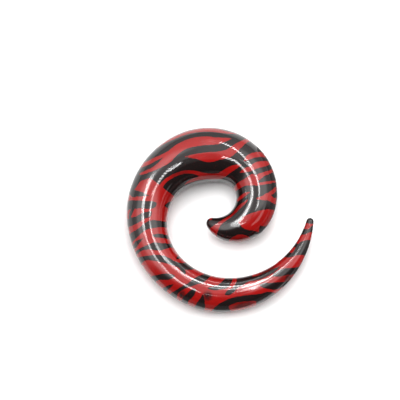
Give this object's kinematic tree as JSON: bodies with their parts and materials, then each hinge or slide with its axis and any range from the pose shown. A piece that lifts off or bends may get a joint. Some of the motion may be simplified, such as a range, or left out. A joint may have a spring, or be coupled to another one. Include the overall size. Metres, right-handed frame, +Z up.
{
  "type": "spiral ear taper",
  "caption": "Flat spiral ear taper: a solid acrylic rod coiled from a blunt head through its full gauge to a slim round tip, in red with black zebra stripes.",
  "frame": {"origin": "middle of the part's box in plan, on the table that the coil lies on", "axes": "+Z up from the table; +Y towards the thick far side of the coil, the way the slim tip points; +X towards the side of the coil that the tip is on"},
  "size_m": [0.034, 0.0338, 0.01],
  "materials": {
    "acrylic": "polished, red with a black zebra print under the gloss"
  },
  "bodies": {
    "root": {"spiral_taper": "acrylic"}
  },
  "joints": []
}
